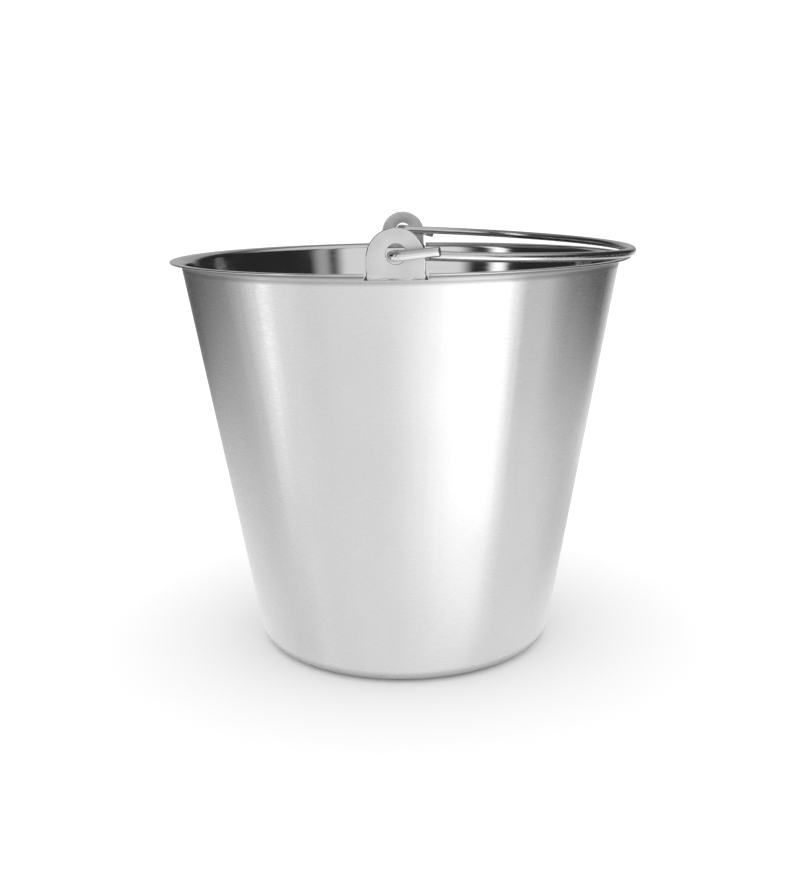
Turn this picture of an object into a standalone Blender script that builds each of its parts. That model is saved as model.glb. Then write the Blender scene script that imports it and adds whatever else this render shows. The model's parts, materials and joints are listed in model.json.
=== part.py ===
"""Stainless steel milk pail with a wire bail.

A seamless tapered shell has a thin turned-out lip. An ear plate stands in a notch in the
lip on each side, butt-welded to the top of the wall. The bail is one round wire: each end
goes out through the ear's hole and is hooked back beside the ear.

Metres, +Z up. The origin is the centre of the base, on the surface that the pail stands
on. The front ear is at -Y, the rear ear at +Y, and the bail lies on the rim at +X.
"""

import math

import bpy

# Shell
RIM_RADIUS = 0.1525
RIM_HEIGHT = 0.265
SHEET = 0.001
WALL_TOP_RADIUS = 0.1453  # where the wall's line meets the underside of the lip
WALL_FOOT_RADIUS = 0.1008  # where the wall's line meets the ground
FLARE_RADIUS = 0.004  # outside, between the wall and the lip
CORNER_RADIUS = 0.013  # outside, between the wall and the base
RING_RADIUS = 0.080  # inner edge of the flat ring that the pail stands on
PANEL_RADIUS = 0.072  # raised panel in the middle of the base
PANEL_RISE = 0.0015
PANEL_BEND = 0.008
FLARE_STEPS = 5
CORNER_STEPS = 6
PANEL_BEND_STEPS = 2  # for each edge of the raised panel
TURN_STEPS = 96
MERGE_DISTANCE = 0.00001  # where the turned sheet closes on the pail's axis

# Ears
EAR_HALF_WIDTH = 0.0164
EAR_THICKNESS = 0.002
EAR_PLANE = 0.1446  # middle of the plate, from the pail's axis
EAR_TOP = 0.0247  # all three heights are above the rim
EAR_HOLE_HEIGHT = 0.0104
EAR_FOOT = -0.0026
EAR_HOLE_RADIUS = 0.0056
EAR_STEPS = 24
HOLE_STEPS = 32
NOTCH_DEPTH = 0.0038
NOTCH_SIDE_GAP = 0.0015
NOTCH_CUTTER_DEPTH = 0.020  # across the lip, half of it on each side of the lip's edge
NOTCH_CUTTER_HEIGHT = 0.010
GAP = 0.0003  # between welded pieces

# Weld strip under each ear
WELD_WIDTH = 0.0026
WELD_STEPS = 6

# Bail
WIRE_RADIUS = 0.00275
BEND_RADIUS = 0.0052  # wire's centreline, round the ear
WIRE_OFFSET = 0.0022  # how far the wire sits from the hole's centre, away from the bail
BAIL_REACH = 0.1532  # wire's centreline at the grip, from the hinge axis
HOOK_REACH = 0.0242  # cut end of the hook, from the hinge axis
FRONT_HOOK_RISE = math.radians(8.7)  # both angles are from the line of the arm
REAR_HOOK_RISE = math.radians(-9.0)
WIRE_LEAN = 0.0045  # rise per metre of Y: the front arm hangs lower in its hole than the rear
HOOK_STEPS = 10
GRIP_STEPS = 48
WIRE_SIDE_STEPS = 4  # per quarter of the round section, besides its first

HINGE_HEIGHT = RIM_HEIGHT + EAR_HOLE_HEIGHT
REST_TILT = math.asin((EAR_HOLE_HEIGHT - WIRE_RADIUS - GAP) / BAIL_REACH)


def clear_scene():
    for obj in list(bpy.data.objects):
        bpy.data.objects.remove(obj)


def new_collection(name):
    collection = bpy.data.collections.new(name)
    bpy.context.scene.collection.children.link(collection)
    return collection


def steel(name, tone, roughness):
    material = bpy.data.materials.new(name)
    material.use_nodes = True
    shader = material.node_tree.nodes["Principled BSDF"]
    shader.inputs["Base Color"].default_value = (tone, tone, tone, 1.0)
    shader.inputs["Metallic"].default_value = 1.0
    shader.inputs["Roughness"].default_value = roughness
    return material


def fillet(before, corner, after, radius, steps):
    """Points of the arc that rounds a corner between two straight runs."""
    to_before = math.atan2(before[1] - corner[1], before[0] - corner[0])
    to_after = math.atan2(after[1] - corner[1], after[0] - corner[0])
    opening = (to_after - to_before + math.pi) % (2 * math.pi) - math.pi
    half = opening / 2
    middle = to_before + half
    reach = radius / math.sin(abs(half))
    centre = (
        corner[0] + reach * math.cos(middle),
        corner[1] + reach * math.sin(middle),
    )
    sweep = math.copysign(math.pi - abs(opening), opening)
    points = []
    for step in range(steps + 1):
        angle = middle + math.pi + sweep * (0.5 - step / steps)
        points.append(
            (
                centre[0] + radius * math.cos(angle),
                centre[1] + radius * math.sin(angle),
            )
        )
    return points


def shell_profile():
    """The outside of the sheet, from the lip's edge down the wall and in under the base."""
    lip_edge = (RIM_RADIUS, RIM_HEIGHT - SHEET)
    wall_top = (WALL_TOP_RADIUS, RIM_HEIGHT - SHEET)
    wall_foot = (WALL_FOOT_RADIUS, 0.0)
    ring_edge = (RING_RADIUS, 0.0)
    panel_edge = (PANEL_RADIUS, PANEL_RISE)
    panel_centre = (0.0, PANEL_RISE)
    profile = [lip_edge]
    profile += fillet(lip_edge, wall_top, wall_foot, FLARE_RADIUS, FLARE_STEPS)
    profile += fillet(wall_top, wall_foot, ring_edge, CORNER_RADIUS, CORNER_STEPS)
    profile += fillet(wall_foot, ring_edge, panel_edge, PANEL_BEND, PANEL_BEND_STEPS)
    profile += fillet(ring_edge, panel_edge, panel_centre, PANEL_BEND, PANEL_BEND_STEPS)
    profile.append(panel_centre)
    return profile


def cut(obj, cutter):
    boolean = obj.modifiers.new(cutter.name, "BOOLEAN")
    boolean.operation = "DIFFERENCE"
    boolean.solver = "EXACT"
    boolean.object = cutter


def make_notch_cutter(name, side, collection):
    """A box that takes the lip and its flare away where an ear stands."""
    width = 2 * (EAR_HALF_WIDTH + NOTCH_SIDE_GAP)
    foot = RIM_HEIGHT - NOTCH_DEPTH
    bpy.ops.mesh.primitive_cube_add(size=1.0)
    cutter = bpy.context.object
    cutter.name = name
    cutter.scale = (width, NOTCH_CUTTER_DEPTH, NOTCH_CUTTER_HEIGHT)
    cutter.location = (0.0, side * RIM_RADIUS, foot + NOTCH_CUTTER_HEIGHT / 2)
    cutter.display_type = "WIRE"
    cutter.hide_render = True
    for owner in list(cutter.users_collection):
        owner.objects.unlink(cutter)
    collection.objects.link(cutter)
    return cutter


def make_shell(parts, cutters):
    profile = [(radius, 0.0, height) for radius, height in shell_profile()]
    edges = [(index, index + 1) for index in range(len(profile) - 1)]
    mesh = bpy.data.meshes.new("pail_shell")
    mesh.from_pydata(profile, edges, [])
    shell = bpy.data.objects.new("pail_shell", mesh)
    parts.objects.link(shell)
    mesh.materials.append(steel("brushed_shell", 0.60, 0.34))

    turn = shell.modifiers.new("turn", "SCREW")
    turn.axis = "Z"
    turn.angle = 2 * math.pi
    turn.steps = TURN_STEPS
    turn.render_steps = TURN_STEPS
    turn.use_merge_vertices = True
    turn.merge_threshold = MERGE_DISTANCE

    sheet = shell.modifiers.new("sheet", "SOLIDIFY")
    sheet.thickness = SHEET
    sheet.offset = -1.0
    sheet.use_even_offset = True

    cut(shell, make_notch_cutter("front_notch", -1, cutters))
    cut(shell, make_notch_cutter("rear_notch", 1, cutters))
    return shell


def flat_outline(name, outlines, thickness, material, parts):
    """A plate from closed outlines in its own XY plane. An outline inside another is a hole."""
    curve = bpy.data.curves.new(name, "CURVE")
    curve.dimensions = "2D"
    curve.fill_mode = "BOTH"
    curve.extrude = thickness / 2
    for outline in outlines:
        spline = curve.splines.new("POLY")
        spline.points.add(len(outline) - 1)
        for point, (x, y) in zip(spline.points, outline):
            point.co = (x, y, 0.0, 1.0)
        spline.use_cyclic_u = True
    curve.materials.append(material)
    plate = bpy.data.objects.new(name, curve)
    parts.objects.link(plate)
    return plate


def arc(centre, radius, start, end, steps):
    points = []
    for step in range(steps + 1):
        angle = start + (end - start) * step / steps
        points.append(
            (
                centre[0] + radius * math.cos(angle),
                centre[1] + radius * math.sin(angle),
            )
        )
    return points


def make_ear(name, side, parts):
    """An upright plate with a round top. Its origin is the centre of its hole."""
    crown = (0.0, EAR_TOP - EAR_HALF_WIDTH - EAR_HOLE_HEIGHT)
    foot = EAR_FOOT - EAR_HOLE_HEIGHT
    outline = [(-EAR_HALF_WIDTH, foot), (EAR_HALF_WIDTH, foot)]
    outline += arc(crown, EAR_HALF_WIDTH, 0.0, math.pi, EAR_STEPS)
    hole = arc((0.0, 0.0), EAR_HOLE_RADIUS, 0.0, -2 * math.pi, HOLE_STEPS)[:-1]
    ear = flat_outline(name, [outline, hole], EAR_THICKNESS, steel(name, 0.62, 0.42), parts)
    ear.rotation_euler = (math.pi / 2, 0.0, 0.0)
    ear.location = (0.0, side * EAR_PLANE, HINGE_HEIGHT)
    return ear


def make_weld(name, side, parts):
    """The strip of weld metal between the top of the wall and the foot of an ear."""
    height = EAR_FOOT + NOTCH_DEPTH - 2 * GAP
    flat = WELD_WIDTH / 2 - height / 2
    outline = arc((flat, 0.0), height / 2, -math.pi / 2, math.pi / 2, WELD_STEPS)
    outline += arc((-flat, 0.0), height / 2, math.pi / 2, 1.5 * math.pi, WELD_STEPS)
    weld = flat_outline(name, [outline], 2 * EAR_HALF_WIDTH, steel(name, 0.55, 0.45), parts)
    weld.rotation_euler = (math.pi / 2, 0.0, math.pi / 2)
    middle = RIM_HEIGHT - NOTCH_DEPTH + GAP + height / 2
    weld.location = (0.0, side * EAR_PLANE, middle)
    return weld


def hooked_end(side, rise):
    """One end of the wire, from the cut end of its hook round to the start of its arm."""
    bend_middle = -WIRE_OFFSET + BEND_RADIUS
    straight = HOOK_REACH - bend_middle
    points = [
        (
            bend_middle + straight * math.cos(rise),
            side * (EAR_PLANE + BEND_RADIUS),
            straight * math.sin(rise),
        )
    ]
    for step in range(HOOK_STEPS + 1):
        turn = math.pi * (0.5 - step / HOOK_STEPS)
        lean = rise * (0.5 + 0.5 * math.sin(turn))
        back = BEND_RADIUS * math.cos(turn)
        points.append(
            (
                bend_middle - back * math.cos(lean),
                side * (EAR_PLANE + BEND_RADIUS * math.sin(turn)),
                -back * math.sin(lean),
            )
        )
    return points


def bail_centreline():
    """Front hook, front arm, half-round grip, rear arm, rear hook, with the hinge axis at y."""
    span = EAR_PLANE - BEND_RADIUS
    grip_middle = BAIL_REACH - span
    points = hooked_end(-1, FRONT_HOOK_RISE)
    for step in range(GRIP_STEPS + 1):
        turn = math.pi * (step / GRIP_STEPS - 0.5)
        points.append((grip_middle + span * math.cos(turn), span * math.sin(turn), 0.0))
    points += reversed(hooked_end(1, REAR_HOOK_RISE))
    return points


def make_bail(parts):
    """The wire handle. Its origin is on the hinge axis, and it is tilted down onto the rim."""
    curve = bpy.data.curves.new("bail", "CURVE")
    curve.dimensions = "3D"
    curve.bevel_depth = WIRE_RADIUS
    curve.bevel_resolution = WIRE_SIDE_STEPS
    curve.use_fill_caps = True
    centreline = bail_centreline()
    spline = curve.splines.new("POLY")
    spline.points.add(len(centreline) - 1)
    for point, (x, y, z) in zip(spline.points, centreline):
        point.co = (x, y, z + WIRE_LEAN * y, 1.0)
    curve.materials.append(steel("bail", 0.58, 0.24))
    bail = bpy.data.objects.new("bail", curve)
    parts.objects.link(bail)
    bail.location = (0.0, 0.0, HINGE_HEIGHT)
    bail.rotation_euler = (0.0, REST_TILT, 0.0)
    return bail


def main():
    clear_scene()
    parts = new_collection("milk_pail")
    cutters = new_collection("cutters")
    make_shell(parts, cutters)
    for name, side in (("front_ear", -1), ("rear_ear", 1)):
        make_ear(name, side, parts)
        make_weld(name + "_weld", side, parts)
    make_bail(parts)


main()
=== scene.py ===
"""Looks for the stainless steel milk pail: a finely brushed shell, tumbled ears, ground welds and
a drawn wire bail, on a pale floor among soft lights.

Metres, in the CAD model's frame. The dimensions below repeat the CAD model's, and what is finer
than the CAD model, such as the rounding of a cut edge, is named here.
"""

import json
import math

import bmesh
import bpy
from mathutils import Matrix, Vector, noise


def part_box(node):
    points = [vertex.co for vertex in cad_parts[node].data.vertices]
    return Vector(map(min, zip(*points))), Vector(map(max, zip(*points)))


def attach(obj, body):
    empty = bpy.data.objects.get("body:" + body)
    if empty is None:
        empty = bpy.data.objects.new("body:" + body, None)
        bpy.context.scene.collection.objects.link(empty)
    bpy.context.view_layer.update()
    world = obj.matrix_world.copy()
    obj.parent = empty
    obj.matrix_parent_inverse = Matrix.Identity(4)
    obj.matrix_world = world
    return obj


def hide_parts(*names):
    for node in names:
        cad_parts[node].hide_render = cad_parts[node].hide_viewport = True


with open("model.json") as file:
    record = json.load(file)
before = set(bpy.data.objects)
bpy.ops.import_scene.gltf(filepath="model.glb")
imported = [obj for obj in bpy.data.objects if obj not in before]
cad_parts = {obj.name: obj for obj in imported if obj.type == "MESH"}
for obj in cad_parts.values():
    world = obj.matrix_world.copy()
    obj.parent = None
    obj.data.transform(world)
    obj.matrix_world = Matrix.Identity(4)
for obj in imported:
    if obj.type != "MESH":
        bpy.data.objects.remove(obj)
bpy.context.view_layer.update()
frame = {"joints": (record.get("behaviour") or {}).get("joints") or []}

# Shell, as in the CAD model
SHEET = 0.001
WALL_TOP_RADIUS = 0.1453
WALL_FOOT_RADIUS = 0.1008
FLARE_RADIUS = 0.004
CORNER_RADIUS = 0.013
RING_RADIUS = 0.080
PANEL_RADIUS = 0.072
PANEL_RISE = 0.0015
PANEL_BEND = 0.008
RIM_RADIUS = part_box("pail_shell")[1][0]
RIM_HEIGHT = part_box("pail_shell")[1][2]

# Ears, notches and welds, as in the CAD model
EAR_HALF_WIDTH = 0.0164
EAR_THICKNESS = 0.002
EAR_PLANE = 0.1446
EAR_TOP = 0.0247
EAR_HOLE_HEIGHT = 0.0104
EAR_FOOT = -0.0026
EAR_HOLE_RADIUS = 0.0056
NOTCH_DEPTH = 0.0038
NOTCH_SIDE_GAP = 0.0015

# Bail, as in the CAD model
WIRE_RADIUS = 0.00275
BEND_RADIUS = 0.0052
WIRE_OFFSET = 0.0022
BAIL_REACH = 0.1532
HOOK_REACH = 0.0242
FRONT_HOOK_RISE = math.radians(8.7)
REAR_HOOK_RISE = math.radians(-9.0)
WIRE_LEAN = 0.0045
BAIL_GAP = 0.0003
HINGE_HEIGHT = frame["joints"][0]["pos_m"][2]
REST_TILT = math.asin((EAR_HOLE_HEIGHT - WIRE_RADIUS - BAIL_GAP) / BAIL_REACH)

# Finer than the CAD model
NOTCH_EDGE_ROUND = 0.0002
EAR_EDGE_ROUND = 0.0008
HOLE_EDGE_ROUND = 0.0004
WIRE_END_ROUND = 0.0003
WIRE_CUT_SLANT = 0.25
BEAD_BULGE = 0.00016
BEAD_UNEVEN = 0.00010
BEAD_OVERLAP = 0.0001
BEAD_WRAP = 0.0011
BEAD_CLIMB = 0.0014
BEAD_LUMPS_PER_METRE = 900
BEAD_RIPPLES_PER_METRE = 700

# Mesh steps
TURN_STEPS = 256
FLARE_STEPS = 14
CORNER_STEPS = 16
PANEL_STEPS = 4
LIP_STEPS = 8
EAR_FOOT_STEPS = 24
EAR_SIDE_STEPS = 8
EAR_CROWN_STEPS = 64
EAR_ROUND_STEPS = 6
BEAD_STATIONS = 96
BEAD_ROWS = 8
HOOK_STEPS = 6
BEND_STEPS = 32
GRIP_STEPS = 192
WIRE_SIDES = 32
WIRE_END_STEPS = 4
SAME_ANGLE = 0.000001

# Relief of the brushed outside: depth of its fine marks, and of the waves in the drawn sheet
MARK_DEPTH = 0.000022
WAVE_DEPTH = 0.000264

# Camera: its lens in millimetres, and its place and turns in metres and radians. It stands in
# front of the pail, a little to the right, and looks down
LENS = 45.3
SENSOR_WIDTH = 36.0
CAMERA_RANGE = 0.7625
CAMERA_HEIGHT = 0.3162
CAMERA_TURN = 0.0168
CAMERA_PAN = 0.0025
CAMERA_PITCH = 0.2348
CAMERA_ROLL = 0.0140

# How dull the outside is in the bend under the lip, and how far painted shade darkens its
# colour there: (depth below the rim, dullness and painted shade)
BEND_DEPTH = 0.0075
BEND_DULL_AND_SHADE = [
    (0.0, 0.0),
    (0.0009, 0.0),
    (0.0013, 1.0),
    (0.0022, 0.9),
    (0.0034, 0.35),
    (0.0044, 0.3),
    (0.0052, 0.5),
    (0.0075, 0.0),
]

# Studio. A plain dome lights the floor. Reflections see a dark room in its place, with soft-edged
# lights round its walls: (brightness, edges). Edges are bearings in degrees from the front, right
# positive. The first three lights stand in front, to the left and to the right, and the last two
# are the halves of one light behind
FLOOR_RADIUS = 9.0
FLOOR_STEPS = 96
DOME = 1.3
ROOM_LEVEL = 0.025
ROOM_LIGHTS = [
    (1.0, (-45, -34, 34, 42)),
    (1.8, (-68, -62, -58, -53)),
    (0.5, (42, 47, 50, 57)),
    (0.43, (145, 162, 190, 200)),
    (0.43, (-200, -190, -162, -145)),
]
ROOM_TOP = math.sin(math.radians(30))
CEILING_START = math.sin(math.radians(55))
CEILING_DIM = 0.22
CEILING_GLOW = 0.65

# Edges of the ceiling's glow, by how far a direction points to the right and to the back
GLOW_ACROSS = (-0.35, 0.0, 0.72, 0.9)
GLOW_BACK = (-0.75, -0.5, 0.2, 0.5)

# Light table round the pail, which only reflections see. Patches of it are brighter or dimmer:
# (change, edges by bearing, edges by distance). Close to the pail a bearing is squeezed towards
# the front, so that a patch's sides run nearly straight past the pail's foot
TABLE_LEVEL = 1.1
TABLE_PATCHES = [
    (1.05, (-15, 55, 59, 68), (0.05, 0.42, 1.4, 6.0)),
    (-0.35, (64, 70, 73, 82), (0.3, 0.6, 1.4, 6.0)),
    (1.4, (-81, -77.5, -76, -71), (0.3, 0.58, 0.95, 1.3)),
    (-0.12, (-140, -108, -86, -74), (0.09, 0.12, 0.3, 0.5)),
    (-0.25, (108, 135, 170, 200), (0.12, 0.25, 0.36, 0.5)),
    (-1.0, (-190, -150, -106, -77), (0.05, 1.25, 8.0, 9.0)),
    (-1.06, (70, 102, 132, 170), (0.3, 1.08, 8.0, 9.0)),
]
TABLE_FOOT = 0.066
TABLE_INNER = 0.105
TABLE_OUTER = 6.0
TABLE_HEIGHT = 0.0004
TABLE_RINGS = 40
TABLE_STEPS = 360


# ---------------------------------------------------------------- mesh helpers


def new_piece(name, mesh, body, slot, *nodes):
    """A piece that stands for CAD nodes and rides on their body. The slot argument is not used."""
    piece = bpy.data.objects.new(name, mesh)
    bpy.context.scene.collection.objects.link(piece)
    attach(piece, body)
    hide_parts(*nodes)
    return piece


def finish_mesh(name, bm, sharp_above=math.radians(40)):
    bmesh.ops.recalc_face_normals(bm, faces=bm.faces)
    mesh = bpy.data.meshes.new(name)
    bm.to_mesh(mesh)
    bm.free()
    for face in mesh.polygons:
        face.use_smooth = True
    mesh.set_sharp_from_angle(angle=sharp_above)
    return mesh


def arc(centre, radius, start, end, steps):
    points = []
    for step in range(steps + 1):
        angle = start + (end - start) * step / steps
        points.append((centre[0] + radius * math.cos(angle), centre[1] + radius * math.sin(angle)))
    return points


def fillet(before, corner, after, radius, steps):
    """Points of the arc that rounds a corner between two straight runs."""
    to_before = math.atan2(before[1] - corner[1], before[0] - corner[0])
    to_after = math.atan2(after[1] - corner[1], after[0] - corner[0])
    opening = (to_after - to_before + math.pi) % (2 * math.pi) - math.pi
    middle = to_before + opening / 2
    reach = radius / math.sin(abs(opening / 2))
    centre = (corner[0] + reach * math.cos(middle), corner[1] + reach * math.sin(middle))
    sweep = math.copysign(math.pi - abs(opening), opening)
    start = middle + math.pi + sweep / 2
    return arc(centre, radius, start, start - sweep, steps)


def bridge(bm, ring_a, ring_b):
    """Quads between two closed rows of vertices of the same length."""
    for index in range(len(ring_a)):
        following = (index + 1) % len(ring_a)
        bm.faces.new((ring_a[index], ring_a[following], ring_b[following], ring_b[index]))


def smooth_step(value, low, high):
    """0 below the low end and 1 above the high end, with a smooth rise between them."""
    share = min(max((value - low) / (high - low), 0.0), 1.0)
    return share * share * (3 - 2 * share)


def smooth_window(value, edges):
    """1 between the two middle edges, fading to 0 at the outer two."""
    return smooth_step(value, edges[0], edges[1]) * (1 - smooth_step(value, edges[2], edges[3]))


# ---------------------------------------------------------------- shell


def outer_profile():
    """The outside of the sheet, from the middle of the base to the underside of the lip."""
    lip_edge = (RIM_RADIUS, RIM_HEIGHT - SHEET)
    wall_top = (WALL_TOP_RADIUS, RIM_HEIGHT - SHEET)
    wall_foot = (WALL_FOOT_RADIUS, 0.0)
    ring_edge = (RING_RADIUS, 0.0)
    panel_edge = (PANEL_RADIUS, PANEL_RISE)
    panel_centre = (0.0, PANEL_RISE)
    profile = [(RIM_RADIUS - SHEET / 2, RIM_HEIGHT - SHEET)]
    profile += fillet(lip_edge, wall_top, wall_foot, FLARE_RADIUS, FLARE_STEPS)
    profile += fillet(wall_top, wall_foot, ring_edge, CORNER_RADIUS, CORNER_STEPS)
    profile += fillet(wall_foot, ring_edge, panel_edge, PANEL_BEND, PANEL_STEPS)
    profile += fillet(ring_edge, panel_edge, panel_centre, PANEL_BEND, PANEL_STEPS)
    profile.append((RING_RADIUS / 2, PANEL_RISE))
    profile.append(panel_centre)
    return profile[::-1]


def inner_profile(outer):
    """The outside moved in by the sheet's thickness, from the lip back to the middle."""
    inner = []
    for index, (radius, height) in enumerate(outer):
        before = outer[max(index - 1, 0)]
        after = outer[min(index + 1, len(outer) - 1)]
        along = (after[0] - before[0], after[1] - before[1])
        length = math.hypot(*along)
        inner.append((radius - SHEET * along[1] / length, height + SHEET * along[0] / length))
    inner[0] = (0.0, PANEL_RISE + SHEET)
    return inner[::-1]


def with_row_at(profile, height):
    """The profile with one more point where it crosses a height, and that point's index."""
    for index in range(len(profile) - 1):
        low, high = profile[index], profile[index + 1]
        if low[1] > RIM_HEIGHT / 2 and (low[1] - height) * (high[1] - height) < 0:
            share = (height - low[1]) / (high[1] - low[1])
            crossing = (low[0] + share * (high[0] - low[0]), height)
            return profile[: index + 1] + [crossing] + profile[index + 1 :], index + 1
    raise ValueError("the profile doesn't cross that height")


def wall_profiles():
    """Outside and inside, each with the index of its point at the notches' floor."""
    outer = outer_profile()
    notch_floor = RIM_HEIGHT - NOTCH_DEPTH
    return with_row_at(outer, notch_floor), with_row_at(inner_profile(outer), notch_floor)


def turn_angles():
    """One angle per column, with a column on each edge of both notches."""
    half = math.asin((EAR_HALF_WIDTH + NOTCH_SIDE_GAP) / RIM_RADIUS)
    edges = [-math.pi / 2 - half, -math.pi / 2 + half, math.pi / 2 - half, math.pi / 2 + half]
    edges.append(edges[0] + 2 * math.pi)
    angles = []
    for start, end in zip(edges, edges[1:]):
        steps = max(2, round(TURN_STEPS * (end - start) / (2 * math.pi)))
        angles += [start + (end - start) * step / steps for step in range(steps)]
    return angles, edges


def make_shell():
    """The sheet turned about the pail's axis, with both notches left out of its lip."""
    (outer, outer_row), (inner, inner_row) = wall_profiles()
    edge_middle = (RIM_RADIUS - SHEET / 2, RIM_HEIGHT - SHEET / 2)
    lip_edge = arc(edge_middle, SHEET / 2, -math.pi / 2, math.pi / 2, LIP_STEPS)[1:-1]
    section = outer + lip_edge + inner
    first, last = outer_row, len(outer) + len(lip_edge) + inner_row
    inside_from = len(outer) + len(lip_edge) // 2
    angles, edges = turn_angles()
    half_width = EAR_HALF_WIDTH + NOTCH_SIDE_GAP

    def at_notch_edge(angle):
        return any(abs(angle - edge) < SAME_ANGLE for edge in edges)

    def in_notch(angle):
        after = angle + SAME_ANGLE
        return edges[0] < after < edges[1] or edges[2] < after < edges[3]

    bm = bmesh.new()
    bottom = bm.verts.new((0.0, 0.0, section[0][1]))
    top = bm.verts.new((0.0, 0.0, section[-1][1]))
    columns = []
    for angle in angles:
        column = [bottom]
        for row, (radius, height) in enumerate(section[1:-1], start=1):
            x, y = radius * math.cos(angle), radius * math.sin(angle)
            if at_notch_edge(angle) and first <= row <= last:
                x = math.copysign(half_width, x)
                y = math.copysign(math.sqrt(radius**2 - half_width**2), y)
            column.append(bm.verts.new((x, y, height)))
        column.append(top)
        columns.append(column)

    cut_edges = set()
    for index, column in enumerate(columns):
        following = columns[(index + 1) % len(columns)]
        notched = in_notch(angles[index])
        for row in range(len(section) - 1):
            if notched and first <= row < last:
                continue
            corners = [column[row], following[row], following[row + 1], column[row + 1]]
            face = bm.faces.new(list(dict.fromkeys(corners)))
            face.material_index = 1 if row >= inside_from else 0
        if notched:
            bm.faces.new((column[first], following[first], following[last], column[last]))
            for row in (first, last):
                cut_edges.add(bm.edges.get((column[row], following[row])))
        if at_notch_edge(angles[index]):
            bm.faces.new(column[first : last + 1])
            for row in range(first, last):
                cut_edges.add(bm.edges.get((column[row], column[row + 1])))

    bmesh.ops.recalc_face_normals(bm, faces=bm.faces)
    bmesh.ops.bevel(
        bm,
        geom=list(cut_edges),
        offset=NOTCH_EDGE_ROUND,
        segments=2,
        profile=0.5,
        affect="EDGES",
        clamp_overlap=True,
    )
    mesh = finish_mesh("turned_shell", bm)
    mesh.materials.append(brushed_outside())
    mesh.materials.append(bright_inside())
    new_piece("turned_shell", mesh, "pail", "brushed_shell", "pail_shell")


# ---------------------------------------------------------------- ears


def ear_outline(inset):
    """Round top, straight sides and straight foot, about the middle of the hole."""
    half = EAR_HALF_WIDTH - inset
    crown = EAR_TOP - EAR_HALF_WIDTH - EAR_HOLE_HEIGHT
    foot = EAR_FOOT - EAR_HOLE_HEIGHT
    points = []
    for step in range(EAR_FOOT_STEPS):
        points.append((half * (2 * step / EAR_FOOT_STEPS - 1), foot))
    for step in range(EAR_SIDE_STEPS):
        points.append((half, foot + (crown - foot) * step / EAR_SIDE_STEPS))
    points += arc((0.0, crown), half, 0.0, math.pi, EAR_CROWN_STEPS)
    for step in range(1, EAR_SIDE_STEPS):
        points.append((-half, crown + (foot - crown) * step / EAR_SIDE_STEPS))
    return points


def plate_edge(rounding):
    """(inset, depth) across the thickness of a plate whose two edges are rounded."""
    rows = []
    for step in range(EAR_ROUND_STEPS + 1):
        quarter = math.pi / 2 * step / EAR_ROUND_STEPS
        inset = rounding * (1 - math.sin(quarter))
        rows.append((inset, EAR_THICKNESS / 2 - rounding * (1 - math.cos(quarter))))
    return rows + [(inset, -depth) for inset, depth in reversed(rows)]


def make_ear(name, side, node):
    """A plate with a rounded edge all round and a smaller rounding at its hole."""
    bm = bmesh.new()
    wear = bm.verts.layers.float.new("wear")
    directions = [math.atan2(z, x) for x, z in ear_outline(EAR_EDGE_ROUND)]

    def add_row(points, depth, worn):
        row = []
        for x, z in points:
            vertex = bm.verts.new((x, side * (EAR_PLANE + depth), HINGE_HEIGHT + z))
            vertex[wear] = worn
            row.append(vertex)
        return row

    outer, hole = [], []
    edge_rows, hole_rows = plate_edge(EAR_EDGE_ROUND), plate_edge(HOLE_EDGE_ROUND)
    for index, ((inset, depth), (growth, hole_depth)) in enumerate(zip(edge_rows, hole_rows)):
        worn = 0.0 if index in (0, len(edge_rows) - 1) else 1.0
        radius = EAR_HOLE_RADIUS + growth
        circle = [(radius * math.cos(angle), radius * math.sin(angle)) for angle in directions]
        outer.append(add_row(ear_outline(inset), depth, worn))
        hole.append(add_row(circle, hole_depth, worn))
    for row in range(len(outer) - 1):
        bridge(bm, outer[row], outer[row + 1])
        bridge(bm, hole[row], hole[row + 1])
    bridge(bm, outer[0], hole[0])
    bridge(bm, outer[-1], hole[-1])
    mesh = finish_mesh(name, bm)
    mesh.materials.append(tumbled_plate())
    new_piece(name, mesh, "pail", "ear_plate", node)


def make_bead(name, side, node):
    """Weld metal from the flat foot of the ear to the curved top of the wall. It is ground nearly
    flush, a little below both at its edges, and wraps round both bottom corners of the ear."""
    (outer, outer_row), (inner, inner_row) = wall_profiles()
    top = RIM_HEIGHT + EAR_FOOT + BEAD_OVERLAP
    foot = RIM_HEIGHT - NOTCH_DEPTH - BEAD_OVERLAP
    bm = bmesh.new()
    rings = []
    for station in range(BEAD_STATIONS + 1):
        x = (EAR_HALF_WIDTH + BEAD_WRAP) * (2 * station / BEAD_STATIONS - 1)
        past_ear = (abs(x) - EAR_HALF_WIDTH) / BEAD_WRAP
        climb = BEAD_CLIMB * (1 - past_ear) if past_ear > 0 else 0.0
        ring = []
        for face, wall_radius in ((1, outer[outer_row][0]), (-1, inner[inner_row][0])):
            flat = EAR_PLANE + face * EAR_THICKNESS / 2
            curved = math.sqrt(wall_radius**2 - x**2)
            ripples = Vector((x * BEAD_RIPPLES_PER_METRE, side * 5, face * 11))
            row = []
            for step in range(BEAD_ROWS + 1):
                share = step / BEAD_ROWS
                swell = math.sin(math.pi * share)
                lumps = Vector((x * BEAD_LUMPS_PER_METRE, face * 7 + side * 3, share * 2.5))
                uneven = BEAD_UNEVEN * noise.noise(lumps) * swell
                proud = BEAD_BULGE * (2 * swell - 0.5) + uneven
                depth = flat + (curved - flat) * share + face * proud
                height = top + climb + (foot - top - climb) * share
                if step in (0, BEAD_ROWS):
                    height += BEAD_UNEVEN * noise.noise(ripples)
                row.append(bm.verts.new((x, side * depth, height)))
            ring += row if face == 1 else row[::-1]
        rings.append(ring)
    for before, after in zip(rings, rings[1:]):
        bridge(bm, before, after)
    bm.faces.new(rings[0])
    bm.faces.new(rings[-1])
    mesh = finish_mesh(name, bm, sharp_above=math.radians(60))
    mesh.materials.append(ground_weld())
    new_piece(name, mesh, "pail", "weld_metal", node)


# ---------------------------------------------------------------- bail


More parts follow.
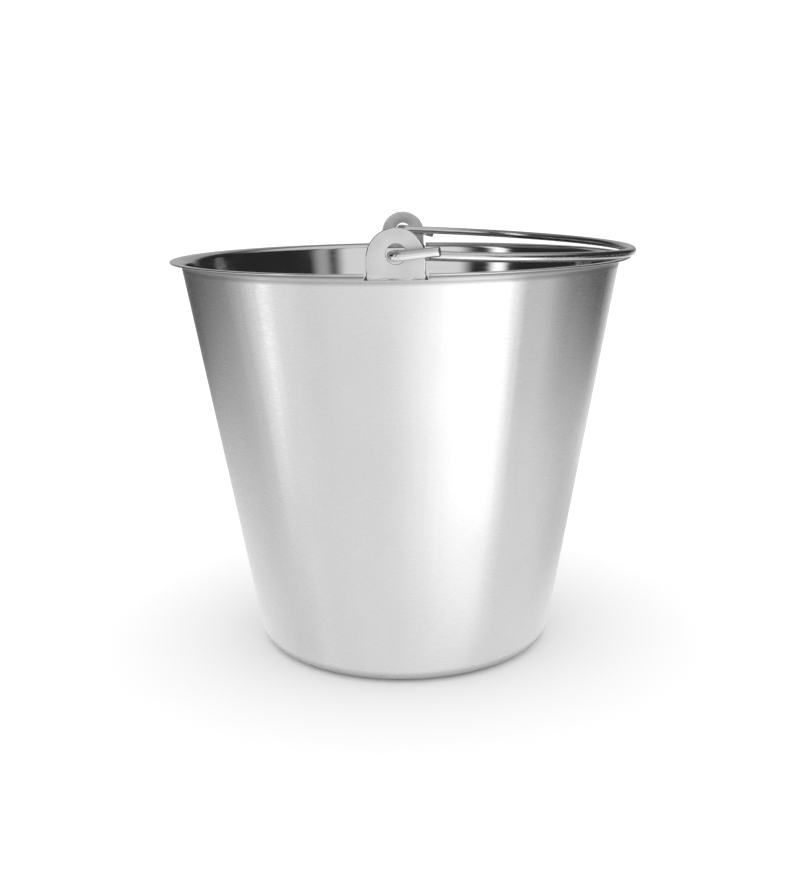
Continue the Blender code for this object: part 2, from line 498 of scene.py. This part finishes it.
def hooked_end(side, rise):
    """One end of the wire, from the cut end of its hook round to the start of its arm."""
    bend_middle = BEND_RADIUS - WIRE_OFFSET
    straight = HOOK_REACH - bend_middle
    points = []
    for step in range(HOOK_STEPS):
        reach = straight * (1 - step / HOOK_STEPS)
        out = side * (EAR_PLANE + BEND_RADIUS)
        points.append(Vector((bend_middle + reach * math.cos(rise), out, reach * math.sin(rise))))
    for step in range(BEND_STEPS + 1):
        turn = math.pi * (0.5 - step / BEND_STEPS)
        lean = rise * (0.5 + 0.5 * math.sin(turn))
        back = BEND_RADIUS * math.cos(turn)
        out = side * (EAR_PLANE + BEND_RADIUS * math.sin(turn))
        points.append(Vector((bend_middle - back * math.cos(lean), out, -back * math.sin(lean))))
    return points


def bail_centreline():
    """Front hook, front arm, half-round grip, rear arm, rear hook, in place on the rim."""
    span = EAR_PLANE - BEND_RADIUS
    grip_middle = BAIL_REACH - span
    points = hooked_end(-1, FRONT_HOOK_RISE)
    for step in range(GRIP_STEPS + 1):
        turn = math.pi * (step / GRIP_STEPS - 0.5)
        points.append(Vector((grip_middle + span * math.cos(turn), span * math.sin(turn), 0.0)))
    points += reversed(hooked_end(1, REAR_HOOK_RISE))
    for point in points:
        point.z += WIRE_LEAN * point.y
    place = Matrix.Translation((0.0, 0.0, HINGE_HEIGHT)) @ Matrix.Rotation(REST_TILT, 4, "Y")
    return [place @ point for point in points]


def make_bail():
    """The wire swept along its centreline. Both cut ends are lightly rounded, and slant a little
    so that they face outwards."""
    rounding = []
    for step in range(WIRE_END_STEPS + 1):
        quarter = math.pi / 2 * step / WIRE_END_STEPS
        inward = WIRE_END_ROUND * (1 - math.cos(quarter))
        rounding.append((inward, WIRE_RADIUS - WIRE_END_ROUND * (1 - math.sin(quarter))))
    path = bail_centreline()
    last = len(path) - 1
    bm = bmesh.new()
    grain = bm.verts.layers.float_vector.new("grain")
    rings = []
    across = (path[1] - path[0]).orthogonal()
    along = 0.0
    for index, point in enumerate(path):
        behind = path[max(index - 1, 0)]
        ahead = path[min(index + 1, last)]
        tangent = (ahead - behind).normalized()
        across = (across - tangent * across.dot(tangent)).normalized()
        other = tangent.cross(across)
        along += (point - behind).length
        rows = [(0.0, WIRE_RADIUS)]
        slant = WIRE_CUT_SLANT if index in (0, last) else 0.0
        if index == 0:
            rows = rounding
        if index == last:
            rows = [(-inward, radius) for inward, radius in reversed(rounding)]
        for inward, radius in rows:
            ring = []
            for corner in range(WIRE_SIDES):
                angle = 2 * math.pi * corner / WIRE_SIDES
                out = radius * (across * math.cos(angle) + other * math.sin(angle))
                vertex = bm.verts.new(point + out + tangent * (inward - slant * out.y))
                vertex[grain] = (along, math.cos(angle), math.sin(angle))
                ring.append(vertex)
            rings.append(ring)
    for before, after in zip(rings, rings[1:]):
        bridge(bm, before, after)
    for ring in (rings[0], rings[-1]):
        bm.faces.new(ring).material_index = 1
    mesh = finish_mesh("bail_wire", bm)
    mesh.materials.append(drawn_wire())
    mesh.materials.append(sheared_end())
    new_piece("bail_wire", mesh, "bail", "bail_wire", "bail")


# ---------------------------------------------------------------- materials


def grey(level):
    return (level, level, level, 1.0)


class Graph:
    """Short calls for building a node tree."""

    def __init__(self, tree):
        self.tree = tree

    def feed(self, socket, value):
        if isinstance(value, bpy.types.NodeSocket):
            self.tree.links.new(value, socket)
        else:
            socket.default_value = value

    def add(self, kind, inputs, **settings):
        made = self.tree.nodes.new(kind)
        for name, value in settings.items():
            setattr(made, name, value)
        for socket, value in inputs.items():
            self.feed(made.inputs[socket], value)
        return made

    def math(self, operation, a, b=0.0):
        return self.add("ShaderNodeMath", {0: a, 1: b}, operation=operation).outputs[0]

    def blend(self, amount, a, b):
        """Colour a where the amount is 0 and colour b where it is 1."""
        inputs = {"Factor": amount, 6: a, 7: b}
        return self.add("ShaderNodeMix", inputs, data_type="RGBA").outputs[2]

    def noise(self, vector, detail=2.0, roughness=0.5):
        inputs = {"Vector": vector, "Scale": 1.0, "Detail": detail, "Roughness": roughness}
        return self.add("ShaderNodeTexNoise", inputs).outputs[0]

    def spread(self, value, low, high, to_low=0.0, to_high=1.0):
        inputs = {0: value, 1: low, 2: high, 3: to_low, 4: to_high}
        return self.add("ShaderNodeMapRange", inputs, interpolation_type="SMOOTHSTEP").outputs[0]

    def window(self, value, edges):
        """1 between the two middle edges, fading to 0 at the outer two."""
        rise = self.spread(value, edges[0], edges[1])
        fall = self.spread(value, edges[2], edges[3], 1.0, 0.0)
        return self.math("MULTIPLY", rise, fall)

    def ramp(self, value, stops):
        """Grey that follows the stops, whose places run from 0 to 1."""
        made = self.add("ShaderNodeValToRGB", {0: value})
        marks = made.color_ramp.elements
        for mark, (place, level) in zip(marks, (stops[0], stops[-1])):
            mark.position = place
            mark.color = grey(level)
        for place, level in stops[1:-1]:
            marks.new(place).color = grey(level)
        return made.outputs[0]

    def place(self):
        return self.add("ShaderNodeTexCoord", {}).outputs["Object"]

    def separate(self, vector):
        return self.add("ShaderNodeSeparateXYZ", {0: vector}).outputs

    def combine(self, x, y, z=0.0):
        return self.add("ShaderNodeCombineXYZ", {0: x, 1: y, 2: z}).outputs[0]

    def squeezed(self, x, y, z):
        """Object coordinates divided by a size along each axis."""
        inputs = {0: self.place(), 1: (1 / x, 1 / y, 1 / z)}
        return self.add("ShaderNodeVectorMath", inputs, operation="MULTIPLY").outputs[0]

    def lathe(self, along, across):
        """Object coordinates squeezed so that noise becomes marks that run round the axis."""
        x, y, z = self.separate(self.place())
        flat = self.combine(x, y)
        radius = self.add("ShaderNodeVectorMath", {0: flat}, operation="LENGTH").outputs["Value"]
        return self.combine(
            self.math("MULTIPLY", x, 1 / along),
            self.math("MULTIPLY", y, 1 / along),
            self.math("MULTIPLY", self.math("ADD", z, radius), 1 / across),
        )

    def staves(self, across, along):
        """Object coordinates squeezed so that noise becomes streaks that run up the wall."""
        x, y, z = self.separate(self.place())
        flat = self.combine(x, y)
        way = self.add("ShaderNodeVectorMath", {0: flat}, operation="NORMALIZE").outputs[0]
        right, back, _ = self.separate(way)
        return self.combine(
            self.math("MULTIPLY", right, WALL_TOP_RADIUS / across),
            self.math("MULTIPLY", back, WALL_TOP_RADIUS / across),
            self.math("MULTIPLY", z, 1 / along),
        )

    def bump(self, height, depth):
        return self.add("ShaderNodeBump", {"Height": height, "Distance": depth}).outputs[0]


def new_steel(name):
    material = bpy.data.materials.new(name)
    material.use_nodes = True
    shader = material.node_tree.nodes["Principled BSDF"]
    shader.inputs["Metallic"].default_value = 1.0
    return material, Graph(material.node_tree), shader


def brushed_outside():
    """Brushed round the pail: short fine marks over a fine speckle, faint handling haze, a few
    bright nicks, and a duller, rougher band in the bend under the lip, where the brush doesn't
    reach, whose colour is darkened there as painted shade. The sheet isn't quite round, so faint
    waves run up the wall."""
    material, graph, shader = new_steel("brushed_outside")
    marks = graph.noise(graph.lathe(0.007, 0.0006), 3.0, 0.6)
    speckle = graph.noise(graph.squeezed(0.0010, 0.0010, 0.0008), 1.0)
    haze = graph.noise(graph.squeezed(0.05, 0.05, 0.07), 3.0)
    nicks = graph.spread(graph.noise(graph.lathe(0.004, 0.0005), 1.0), 0.76, 0.82)
    height = graph.separate(graph.place())[2]
    depth = graph.math("MULTIPLY", graph.math("SUBTRACT", RIM_HEIGHT, height), 1 / BEND_DEPTH)
    # Band under the lip: rougher there, and its base colour darkened as painted shade
    dull_and_shade = graph.ramp(depth, [(place / BEND_DEPTH, level) for place, level in BEND_DULL_AND_SHADE])
    shade = graph.math("ADD", graph.math("MULTIPLY", marks, 0.6), graph.math("MULTIPLY", haze, 0.4))
    plain = graph.blend(graph.spread(shade, 0.38, 0.62), grey(0.595), grey(0.635))
    nicked = graph.blend(nicks, plain, grey(0.72))
    # Painted shade: the base colour goes to dark grey in the bend under the lip
    graph.feed(shader.inputs["Base Color"], graph.blend(dull_and_shade, nicked, grey(0.26)))
    rough = graph.spread(marks, 0.3, 0.7, 0.26, 0.34)
    rough = graph.math("ADD", rough, graph.math("MULTIPLY", dull_and_shade, 0.3))
    graph.feed(shader.inputs["Roughness"], rough)
    waves = graph.noise(graph.staves(0.016, 0.25), 2.0)
    waves = graph.math("MULTIPLY", waves, WAVE_DEPTH / MARK_DEPTH)
    relief = graph.math("ADD", graph.math("ADD", marks, speckle), waves)
    graph.feed(shader.inputs["Normal"], graph.bump(relief, MARK_DEPTH))
    shader.inputs["Anisotropic"].default_value = 0.85
    shader.inputs["Anisotropic Rotation"].default_value = 0.25
    tangent = graph.add("ShaderNodeTangent", {}, direction_type="RADIAL", axis="Z")
    graph.feed(shader.inputs["Tangent"], tangent.outputs[0])
    return material


def bright_inside():
    """Smooth drawn inside and lip, with faint draw lines and a little haze from washing."""
    material, graph, shader = new_steel("bright_inside")
    lines = graph.noise(graph.lathe(0.08, 0.0012))
    haze = graph.noise(graph.squeezed(0.03, 0.03, 0.03), 4.0, 0.6)
    graph.feed(shader.inputs["Base Color"], graph.blend(lines, grey(0.58), grey(0.64)))
    fine = graph.spread(lines, 0.3, 0.7, 0.08, 0.11)
    washed = graph.spread(haze, 0.4, 0.7, 0.0, 0.05)
    graph.feed(shader.inputs["Roughness"], graph.math("ADD", fine, washed))
    graph.feed(shader.inputs["Normal"], graph.bump(lines, 0.000004))
    return material


def tumbled_plate():
    """Matt ear plate: faint upright polishing marks, small pits, and edges rubbed bright."""
    material, graph, shader = new_steel("tumbled_plate")
    marks = graph.noise(graph.squeezed(0.0006, 0.0006, 0.006))
    pits = graph.noise(graph.squeezed(0.0009, 0.0009, 0.0009), 3.0, 0.6)
    haze = graph.noise(graph.squeezed(0.012, 0.012, 0.012), 3.0)
    uneven = graph.noise(graph.squeezed(0.002, 0.002, 0.002))
    mask = graph.add("ShaderNodeAttribute", {}, attribute_name="wear").outputs["Fac"]
    edge = graph.math("MULTIPLY", mask, graph.spread(uneven, 0.25, 0.6, 0.5, 1.0))
    plain = graph.blend(graph.spread(haze, 0.35, 0.65), grey(0.52), grey(0.57))
    graph.feed(shader.inputs["Base Color"], graph.blend(edge, plain, grey(0.66)))
    matt = graph.spread(marks, 0.3, 0.7, 0.34, 0.44)
    rubbed = graph.math("MULTIPLY", edge, 0.24)
    graph.feed(shader.inputs["Roughness"], graph.math("SUBTRACT", matt, rubbed))
    relief = graph.math("MULTIPLY", graph.math("ADD", marks, pits), 0.5)
    graph.feed(shader.inputs["Normal"], graph.bump(relief, 0.00002))
    return material


def ground_weld():
    """Weld metal dressed along the seam, a little darker and warmer than the sheet, and painted
    near black as shade at the ear's bottom corners, where it wraps round them into the notch gaps."""
    material, graph, shader = new_steel("ground_weld")
    marks = graph.noise(graph.squeezed(0.006, 0.0005, 0.0004), 3.0)
    tint = graph.spread(graph.noise(graph.squeezed(0.005, 0.005, 0.0006)), 0.40, 0.55)
    heat, metal = (0.24, 0.23, 0.215, 1.0), (0.55, 0.545, 0.535, 1.0)
    aside = graph.separate(graph.place())[0]
    # Painted shade: the bead goes near black at and past the ear's sides, standing in for the dark
    # notch gaps
    corner_shade = graph.spread(graph.math("ABSOLUTE", aside), EAR_HALF_WIDTH - 0.0012, EAR_HALF_WIDTH)
    dressed = graph.blend(tint, heat, metal)
    graph.feed(shader.inputs["Base Color"], graph.blend(corner_shade, dressed, grey(0.06)))
    graph.feed(shader.inputs["Roughness"], graph.spread(marks, 0.3, 0.7, 0.36, 0.48))
    graph.feed(shader.inputs["Normal"], graph.bump(marks, 0.00003))
    return material


def drawn_wire():
    """Semi-bright wire with fine die lines along it and scuffs across it."""
    material, graph, shader = new_steel("drawn_wire")
    grain = graph.add("ShaderNodeAttribute", {}, attribute_name="grain").outputs["Vector"]

    def stretched(along, around):
        inputs = {0: grain, 1: (along, around, around)}
        return graph.add("ShaderNodeVectorMath", inputs, operation="MULTIPLY").outputs[0]

    lines = graph.noise(stretched(22.0, 5.0), 3.0)
    scuffs = graph.spread(graph.noise(stretched(700.0, 1.6), 3.0), 0.58, 0.72)
    haze = graph.noise(graph.squeezed(0.02, 0.02, 0.02), 3.0)
    tone = graph.blend(graph.spread(lines, 0.35, 0.65), grey(0.56), grey(0.66))
    graph.feed(shader.inputs["Base Color"], tone)
    smooth = graph.spread(haze, 0.35, 0.65, 0.13, 0.2)
    scuffed = graph.math("MULTIPLY", scuffs, 0.1)
    graph.feed(shader.inputs["Roughness"], graph.math("ADD", smooth, scuffed))
    grooves = graph.math("MULTIPLY", lines, 0.7)
    relief = graph.math("ADD", grooves, graph.math("MULTIPLY", scuffs, 0.12))
    graph.feed(shader.inputs["Normal"], graph.bump(relief, 0.00004))
    return material


def sheared_end():
    """Cut face of the wire, dull, with the fine lines that the shear leaves."""
    material, graph, shader = new_steel("sheared_end")
    lines = graph.noise(graph.squeezed(0.002, 0.002, 0.0003))
    graph.feed(shader.inputs["Base Color"], graph.blend(lines, grey(0.28), grey(0.36)))
    graph.feed(shader.inputs["Roughness"], graph.spread(lines, 0.3, 0.7, 0.3, 0.4))
    graph.feed(shader.inputs["Normal"], graph.bump(lines, 0.00003))
    return material


# ---------------------------------------------------------------- studio


def make_floor():
    bm = bmesh.new()
    bmesh.ops.create_circle(bm, cap_ends=True, radius=FLOOR_RADIUS, segments=FLOOR_STEPS)
    mesh = bpy.data.meshes.new("floor")
    bm.to_mesh(mesh)
    bm.free()
    material = bpy.data.materials.new("pale_floor")
    material.use_nodes = True
    graph = Graph(material.node_tree)
    shader = material.node_tree.nodes["Principled BSDF"]
    cloudy = graph.noise(graph.squeezed(0.5, 0.5, 0.5))
    graph.feed(shader.inputs["Base Color"], graph.blend(cloudy, grey(0.90), grey(0.92)))
    shader.inputs["Roughness"].default_value = 0.7
    shader.inputs["Specular IOR Level"].default_value = 0.0
    mesh.materials.append(material)
    floor = bpy.data.objects.new("floor", mesh)
    bpy.context.scene.collection.objects.link(floor)


def table_glow(distance, bearing):
    """How bright the table is at a distance from the pail's axis and a bearing in degrees."""
    far_bearing = bearing / (1 - TABLE_FOOT / distance)
    level = TABLE_LEVEL
    for change, bearings, distances in TABLE_PATCHES:
        level += change * smooth_window(far_bearing, bearings) * smooth_window(distance, distances)
    return level


def make_table():
    """A table of light round the pail, brighter in some parts than in others. Only reflections see
    it, and they see it in place of the floor."""
    bm = bmesh.new()
    glow = bm.verts.layers.float.new("glow")
    rings = []
    for ring_index in range(TABLE_RINGS + 1):
        radius = TABLE_INNER * (TABLE_OUTER / TABLE_INNER) ** (ring_index / TABLE_RINGS)
        ring = []
        for step in range(TABLE_STEPS):
            bearing = 360 * step / TABLE_STEPS - 180
            angle = math.radians(bearing)
            place = (radius * math.sin(angle), -radius * math.cos(angle), TABLE_HEIGHT)
            vertex = bm.verts.new(place)
            vertex[glow] = table_glow(radius, bearing)
            ring.append(vertex)
        rings.append(ring)
    for before, after in zip(rings, rings[1:]):
        bridge(bm, before, after)
    mesh = bpy.data.meshes.new("light_table")
    bm.to_mesh(mesh)
    bm.free()
    material = bpy.data.materials.new("light_table")
    material.use_nodes = True
    material.node_tree.nodes.clear()
    graph = Graph(material.node_tree)
    level = graph.add("ShaderNodeAttribute", {}, attribute_name="glow").outputs["Fac"]
    shine = graph.add("ShaderNodeEmission", {"Strength": level}).outputs[0]
    graph.add("ShaderNodeOutputMaterial", {"Surface": shine})
    mesh.materials.append(material)
    table = bpy.data.objects.new("light_table", mesh)
    bpy.context.scene.collection.objects.link(table)
    table.visible_camera = False
    table.visible_diffuse = False
    table.visible_shadow = False
    table.visible_transmission = False


def make_world():
    """A plain white dome. Reflections see a room in its place, with soft lights round its dark
    walls, and a soft glow on its ceiling."""
    world = bpy.data.worlds.new("studio")
    bpy.context.scene.world = world
    world.use_nodes = True
    graph = Graph(world.node_tree)
    way = graph.add("ShaderNodeTexCoord", {}).outputs["Generated"]
    across, back, up = graph.separate(way)
    turn = graph.math("ARCTAN2", across, graph.math("MULTIPLY", back, -1.0))
    bearing = graph.math("MULTIPLY", turn, 180 / math.pi)
    walls = ROOM_LEVEL
    for level, edges in ROOM_LIGHTS:
        light = graph.math("MULTIPLY", graph.window(bearing, edges), level)
        walls = graph.math("ADD", light, walls)
    glow = graph.math("MULTIPLY", graph.window(across, GLOW_ACROSS), graph.window(back, GLOW_BACK))
    ceiling = graph.math("ADD", graph.math("MULTIPLY", glow, CEILING_GLOW), CEILING_DIM)
    room = graph.blend(graph.spread(up, ROOM_TOP, CEILING_START), walls, ceiling)
    seen_in_steel = graph.add("ShaderNodeLightPath", {}).outputs["Is Glossy Ray"]
    shown = graph.blend(seen_in_steel, grey(DOME), room)
    graph.feed(world.node_tree.nodes["Background"].inputs["Color"], shown)


def make_camera():
    data = bpy.data.cameras.new("camera")
    data.lens = LENS
    data.sensor_width = SENSOR_WIDTH
    camera = bpy.data.objects.new("camera", data)
    bpy.context.scene.collection.objects.link(camera)
    camera.location = (
        CAMERA_RANGE * math.sin(CAMERA_TURN),
        -CAMERA_RANGE * math.cos(CAMERA_TURN),
        CAMERA_HEIGHT,
    )
    heading = Matrix.Rotation(CAMERA_TURN + CAMERA_PAN, 4, "Z")
    pitch = Matrix.Rotation(math.pi / 2 - CAMERA_PITCH, 4, "X")
    roll = Matrix.Rotation(-CAMERA_ROLL, 4, "Z")
    camera.rotation_euler = (heading @ pitch @ roll).to_euler()
    bpy.context.scene.camera = camera


def main():
    make_shell()
    for name, side in (("front", -1), ("rear", 1)):
        make_ear(name + "_ear_plate", side, name + "_ear")
        make_bead(name + "_weld_bead", side, name + "_ear_weld")
    make_bail()
    make_floor()
    make_table()
    make_world()
    make_camera()
    bpy.context.scene.view_settings.view_transform = "Standard"


main()
bpy.context.view_layer.update()
